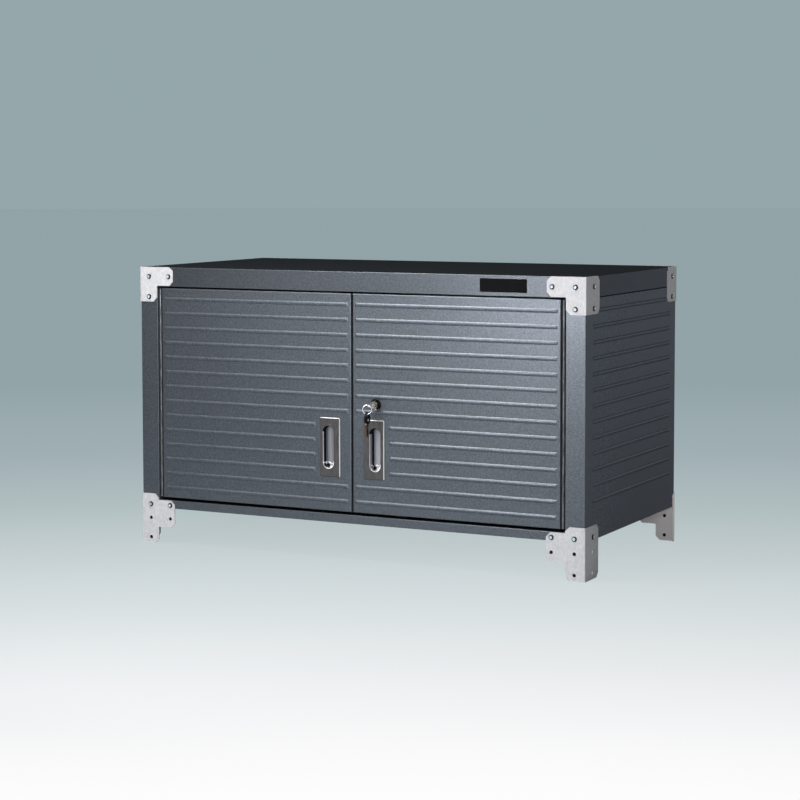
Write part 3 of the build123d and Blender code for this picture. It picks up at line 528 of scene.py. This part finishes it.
# %% [markdown]
# ## The spare key's plastic bow
#
# The spare key's bow is moulded over the steel in black plastic, with a bright rivet through it
# and a bright eyelet round the hole for the ring. Both could be solids, but they lie flush with
# the plastic, so a disc and a ring in the finish look the same. They are measured from the bow's
# foot.

# %% Black plastic with a rivet and an eyelet
black_plastic = Finish("black_plastic", Specular_IOR_Level=0.10)
rivet_up = 0.008
rivet_radius = 0.0021
eyelet_up = 0.0083
eyelet_inner = 0.0014
eyelet_outer = 0.0026
grain = speckle(black_plastic, size=0.0009)
dark_grain = (0.003, 0.003, 0.003)
pale_grain = (0.010, 0.0095, 0.009)
steel_tone = (0.917, 0.883, 0.833)
bow_tone = blend(black_plastic, grain, dark_grain, pale_grain)
bow_y = spot(black_plastic, "Y") - (cover_low.y + cover_high.y) / 2
rivet_z = spot(black_plastic, "Z") - cover_low.z - rivet_up
from_eyelet = away(bow_y, rivet_z - eyelet_up)
on_eyelet = lower(from_eyelet > eyelet_inner, from_eyelet < eyelet_outer)
on_steel = higher(away(bow_y, rivet_z) < rivet_radius, on_eyelet)
black_plastic.feed(Base_Color=blend(black_plastic, on_steel, bow_tone, steel_tone))
black_plastic.feed(Roughness=0.38 + 0.15 * grain)
black_plastic.feed(Normal=bump(black_plastic, grain, depth=0.00004))
print("rivet is", 2000 * rivet_radius, "mm across")

# %% [markdown]
# ## Enamel and rubber
#
# The bare name plate on the top rail is enamelled and the door stops inside are rubber. Both are
# near black, and what tells them apart is how they shine: enamel keeps an even, faint gloss,
# while rubber is dull and holds dust. Each needs only one noise and its own roughness.

# %% Enamel and rubber
enamel = Finish("black_enamel", Specular_IOR_Level=0.03)
ripple = speckle(enamel, size=0.012)
deep_enamel = (0.0025, 0.0027, 0.0032)
pale_enamel = (0.0050, 0.0053, 0.0062)
enamel.feed(Base_Color=blend(enamel, ripple, deep_enamel, pale_enamel))
enamel.feed(Roughness=0.5 + 0.1 * ripple)

rubber = Finish("stop_rubber")
dust = speckle(rubber, size=0.0014, detail=3.0)
dusty = contrast(rubber, dust, low=0.4, high=0.8)
clean_rubber = (0.023, 0.023, 0.023)
dusty_rubber = (0.075, 0.072, 0.067)
rubber.feed(Base_Color=blend(rubber, dusty, clean_rubber, dusty_rubber))
rubber.feed(Roughness=0.75 + 0.15 * dust)
print("enamel and rubber ready")

# %% [markdown]
# ## Giving each node its finish
#
# Every solid of the cabinet needs one of these eight finishes. They could be given node by node,
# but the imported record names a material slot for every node, so they are handed out by slot and
# no node is forgotten.

# %% Hand out the finishes
finishes = {
    "graphite_paint": graphite,
    "zinc_steel": zinc,
    "hinge_steel": hinge_zinc,
    "handle_nickel": handle_nickel,
    "lock_nickel": lock_nickel,
    "black_plastic": black_plastic,
    "black_enamel": enamel,
    "stop_rubber": rubber,
}
for name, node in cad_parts.items():
    for index, material in enumerate(node.data.materials):
        slot = material.name.split(".")[0]
        node.data.materials[index] = finishes[slot].material
print("dressed", len(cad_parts), "nodes")

# %% [markdown]
# ## The bracket screws
#
# Thirty pan-head screws hold the brackets. Each is a low dome with a cross recess. Its crown is painted
# bright as a painted highlight, and its skirt dark as painted reflection and shade. A head could be a
# flattened sphere with a cross cut out, but such cuts leave ragged edges. A disc of rings and spokes is
# raised into a dome instead, and the cross is pressed into it by the same height formula. The solid screws
# say where the heads go: every loose part of that node is one screw, and the face of the cabinet that it
# lies nearest gives its direction.

# %% Find the screws
import bmesh
import numpy as np

weld = 1e-6

def loose_parts(node):
    """The (lowest, highest) corners of every separate solid in a node, in the same order each run."""
    mesh = bmesh.new()
    mesh.from_mesh(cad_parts[node].data)
    bmesh.ops.remove_doubles(mesh, verts=mesh.verts, dist=weld)
    left = set(mesh.verts)
    found = []
    while left:
        group = [left.pop()]
        for vertex in group:
            near = {edge.other_vert(vertex) for edge in vertex.link_edges} & left
            left -= near
            group.extend(near)
        places = np.array([vertex.co for vertex in group])
        found.append((Vector(places.min(0)), Vector(places.max(0))))
    mesh.free()
    return sorted(found, key=lambda corners: tuple(corners[0]))


screw_seats = []
for low, high in loose_parts("bracket_screws"):
    middle = (low + high) / 2
    faces = {
        (1, 0, 0): tray_high.x - middle.x,
        (-1, 0, 0): middle.x - tray_low.x,
        (0, 1, 0): tray_high.y - middle.y,
        (0, -1, 0): middle.y - tray_low.y,
    }
    out = Vector(min(faces, key=faces.get))
    reach = high if sum(out) > 0 else low
    head_top = middle + out * (reach - middle).dot(out)
    screw_seats.append((head_top, out))
print("screws found:", len(screw_seats))

# %% The height of a head
from math import hypot

head_radius = 0.0049
head_height = 0.0026
arm_half = 0.0007
arm_reach = 0.0023
arm_side = 0.0003
arm_end = 0.0005
cross_depth = 0.0013
flat_crown = 3.2
round_skirt = 0.55

def ramp(distance, width):
    """0 outside an edge, 1 once a point is that width inside it."""
    return max(0, min(1, distance / width))


def head_rise(x, y):
    """Height of the head's surface over the bracket."""
    part = min(1, hypot(x, y) / head_radius)
    dome = head_height * (1 - part ** flat_crown) ** round_skirt
    cross = max(ramp(arm_half - abs(a), arm_side) * ramp(arm_reach - abs(b), arm_end)
                for a, b in ((x, y), (y, x)))
    return dome - cross_depth * cross


print("a head rises", 1000 * head_height, "mm, its cross is", 1000 * cross_depth, "mm deep")

# %% Shape one dome and repeat it
rings = 12
spokes = 32
crowding = 0.8

def fixed_turn(place):
    """A turn of 0 to 90 degrees that depends on the place alone, so that no two heads line up."""
    number = int(abs(place.x * 7919 + place.y * 104729 + place.z * 1299709))
    return (number % 90) * pi / 180


def build_domes(seats, radius, height, rise):
    """A round dome of that radius at every seat, in one mesh; its rings crowd towards the rim."""
    mesh = bmesh.new()
    rim = mesh.verts.layers.float.new("rim")
    for top, out in seats:
        turn = out.to_track_quat("Z", "Y").to_matrix()
        base = top - out * height
        spin = fixed_turn(base)
        middle = mesh.verts.new(base + turn @ Vector((0, 0, rise(0, 0))))
        rows = []
        for ring in range(1, rings + 1):
            reach = radius * (ring / rings) ** crowding
            row = []
            for spoke in range(spokes):
                angle = 2 * pi * spoke / spokes
                x, y = reach * cos(angle), reach * sin(angle)
                flat = Vector((x * cos(spin) - y * sin(spin), x * sin(spin) + y * cos(spin), rise(x, y)))
                vertex = mesh.verts.new(base + turn @ flat)
                vertex[rim] = reach / radius
                row.append(vertex)
            rows.append(row)
        for spoke in range(spokes):
            after = (spoke + 1) % spokes
            mesh.faces.new((middle, rows[0][spoke], rows[0][after]))
            for inner, outer in zip(rows, rows[1:]):
                mesh.faces.new((inner[spoke], outer[spoke], outer[after], inner[after]))
    for face in mesh.faces:
        face.smooth = True
    return mesh


print("a dome has", rings * spokes, "faces")

# %% Put a mesh in the scene
def add_piece(name, mesh):
    """Puts a finished mesh in the scene as an object of its own."""
    data = bpy.data.meshes.new(name)
    mesh.to_mesh(data)
    piece = bpy.data.objects.new(name, data)
    bpy.context.scene.collection.objects.link(piece)
    mesh.free()
    print(name, "faces:", len(data.polygons))
    return piece


screw_heads = add_piece("screw_heads", build_domes(screw_seats, head_radius, head_height, head_rise))

# %% Plate the heads and put them in place
screw_steel = Finish("screw_steel", Metallic=0.9)
# painted highlight on the crown, painted reflection and shade round the skirt
crown_highlight_tone = (0.64, 0.74, 0.79)
skirt_shade_tone = (0.028, 0.031, 0.036)
from_crown = screw_steel.node("ShaderNodeAttribute", {"attribute_name": "rim"}, {}, "Fac")
scuff = speckle(screw_steel, size=0.0008)
skirt_shade = contrast(screw_steel, from_crown + 0.10 * scuff, low=0.52, high=0.66)
screw_steel.feed(Base_Color=blend(screw_steel, skirt_shade, crown_highlight_tone, skirt_shade_tone))
screw_steel.feed(Roughness=0.22 + 0.14 * scuff)
screw_heads.data.materials.append(screw_steel.material)
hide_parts("bracket_screws")
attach(screw_heads, "cabinet")
print("heads are", round(2000 * head_radius, 1), "mm across")

# %% [markdown]
# ## Plugs in the spare holes
#
# Each foot has three holes on its face plate that take no screw. Black push-in plugs close them,
# with a low dome on both sides of the sheet. A plug could be a cylinder through the hole, but
# only its two domes are ever seen, so they are made by the same function as the screw heads.

# %% Plug the spare holes
plug_radius = 0.0033
plug_height = 0.0006
half_sheet = 0.00075
inner_column = 0.0205
outer_column = 0.064
upper_row = -0.020
lower_row = -0.0575
spare_holes = ((inner_column, upper_row), (outer_column, upper_row), (inner_column, lower_row))
cabinet_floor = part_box("bottom_panel")[0].z

def plug_rise(x, y):
    """Height of a plug's surface over the middle of the sheet."""
    return plug_height * (1 - min(1, hypot(x, y) / plug_radius) ** 4) ** 0.5


plug_seats = []
for corner in ("left_front", "right_front", "left_rear", "right_rear"):
    low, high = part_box(corner + "_foot")
    outer_edge, inwards = (high.x, -1) if "right" in corner else (low.x, 1)
    sheet_middle = low.y + half_sheet if "front" in corner else high.y - half_sheet
    for column, row in spare_holes:
        middle = Vector((outer_edge + inwards * column, sheet_middle, cabinet_floor + row))
        for out in (Vector((0, -1, 0)), Vector((0, 1, 0))):
            plug_seats.append((middle + out * plug_height, out))
hole_plugs = add_piece("hole_plugs", build_domes(plug_seats, plug_radius, plug_height, plug_rise))
hole_plugs.data.materials.append(black_plastic.material)
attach(hole_plugs, "cabinet")

# %% [markdown]
# ## Floor and backdrop
#
# The cabinet stands in a studio on a pale sweep that turns blue-grey with distance. Lamps could
# light a white sweep to those tones, but they would flood the cabinet as well. So the sweep
# shows its colour as it is to the camera and, weakened, to metal that mirrors it, and keeps a
# small share that is lit, which takes the cabinet's soft shadow.

# %% Tones of the sweep
def paint(red, green, blue):
    """A colour as a screen shows it, 0 to 255, turned into the linear light that Blender adds."""
    def linear(value):
        value = value / 255
        return value / 12.92 if value <= 0.04045 else ((value + 0.055) / 1.055) ** 2.4
    return linear(red), linear(green), linear(blue)


floor_tones = (
    (2.37, (255, 255, 255)), (2.56, (251, 251, 251)), (2.81, (241, 242, 244)),
    (3.10, (228, 232, 233)), (3.47, (212, 220, 222)), (3.94, (197, 207, 209)),
    (4.54, (177, 191, 193)), (5.36, (162, 177, 182)), (7.16, (149, 167, 171)),
)
tones_reach = 8.0
sweep = Finish("sweep_paper", Roughness=0.9)
below_eye = sweep.node("ShaderNodeTexCoord", {}, {}, "Object")
from_eye = sweep.node("ShaderNodeVectorMath", {"operation": "LENGTH"}, {0: below_eye}, 1)
sweep_stops = [(distance / tones_reach, paint(*tone)) for distance, tone in floor_tones]
sweep_tone = sweep.node("ShaderNodeValToRGB", {"stops": sweep_stops}, {0: from_eye / tones_reach})
sweep.feed(Base_Color=sweep_tone)
print("the sweep has", len(floor_tones), "tones, out to", floor_tones[-1][0], "m")

# %% Show the sweep to the camera and lay it under the cabinet
def sees_background(network, mirrored):
    """1 for rays from the camera or through glass, and less for rays that metal throws back."""
    camera_ray = network.node("ShaderNodeLightPath", {}, {}, "Is Camera Ray")
    glossy_ray = network.node("ShaderNodeLightPath", {}, {}, "Is Glossy Ray")
    clear_ray = network.node("ShaderNodeLightPath", {}, {}, "Is Transmission Ray")
    return higher(higher(camera_ray, clear_ray), mirrored * glossy_ray)


in_metal = 0.24
own_glow = 0.95
floor_radius = 40
glow = sweep.node("ShaderNodeEmission", {}, {"Color": sweep_tone, "Strength": 1.0})
lit = Wire(sweep, sweep.shader.outputs[0])
glow_share = own_glow * sees_background(sweep, in_metal)
shown = sweep.node("ShaderNodeMixShader", {}, {0: glow_share, 1: lit, 2: glow})
sweep.tree.links.new(shown.socket, sweep.tree.nodes["Material Output"].inputs["Surface"])
bpy.ops.mesh.primitive_circle_add(vertices=96, radius=floor_radius, fill_type="NGON",
                                  location=(eye.x, eye.y, 0))
floor = bpy.context.object
floor.name = "floor"
floor.data.materials.append(sweep.material)
print("floor reaches", floor_radius, "m round the camera")

# %% [markdown]
# ## The air round the cabinet
#
# Behind the sweep there is only distance, in the sweep's last tone, and the cabinet takes a
# little light from all sides. A dome of lamps could give that light. The world gives it with one
# faint, cool colour, and shows the distant tone only to the rays that see the background.

# %% World: distance and soft fill
world = bpy.data.worlds.new("studio")
bpy.context.scene.world = world
world.use_nodes = True
air = Network(world.node_tree)
air.tree.nodes.clear()
fill_strength = 0.048
fill_tone = (0.92, 0.96, 1.0, 1)
distance_tone = (*sweep_stops[-1][1], 1)
backdrop = air.node("ShaderNodeBackground", {}, {"Color": distance_tone, "Strength": 1.0})
fill = air.node("ShaderNodeBackground", {}, {"Color": fill_tone, "Strength": fill_strength})
pick = air.node("ShaderNodeMixShader", {}, {0: sees_background(air, in_metal), 1: fill, 2: backdrop})
air.node("ShaderNodeOutputWorld", {}, {"Surface": pick})
print("soft fill at", fill_strength)

# %% [markdown]
# ## The lamps
#
# Satin paint shows a lamp only where its faces throw it back, so one large lamp, which would be
# simpler, would flatten the ribs. Here each lamp has one job. The key light models the whole from
# high on the left, and the upper light shades the doors' ribs. The shadow light lays the shadow
# on the floor. The sheen light is small and close, for the soft patch on the doors, and the edge
# light picks out their folds. The rim light grazes the end from behind on the right, and the
# front light lifts the end and the right door from afar. All are square, and aimed at the
# cabinet's middle.

# %% Hang the lamps
aim = Vector((0, 0, 0.3))
lamps = (
    # name, degrees to the left, degrees up, metres away, metres across, watts
    ("key_light", 28, 65, 1.6, 0.5, 21),
    ("upper_light", 16, 45, 1.1, 0.4, 3.0),
    ("shadow_light", 28, 35, 4.0, 0.4, 30),
    ("sheen_light", 0, 9.5, 1.35, 0.14, 6.7),
    ("edge_light", 24, 12, 1.1, 0.4, 0.8),
    ("rim_light", -135, 7, 4.0, 1.2, 34),
    ("front_light", -25, 6, 4.0, 1.0, 37),
)
for name, to_left, upwards, distance, side, watts in lamps:
    light = bpy.data.lights.new(name, "AREA")
    light.shape = "SQUARE"
    light.size = side
    light.energy = watts
    azimuth, elevation = radians(to_left), radians(upwards)
    out = Vector((-sin(azimuth) * cos(elevation), -cos(azimuth) * cos(elevation), sin(elevation)))
    lamp = bpy.data.objects.new(name, light)
    lamp.location = aim + distance * out
    lamp.rotation_euler = out.to_track_quat("Z", "Y").to_euler()
    bpy.context.scene.collection.objects.link(lamp)
print("lamps:", len(lamps))
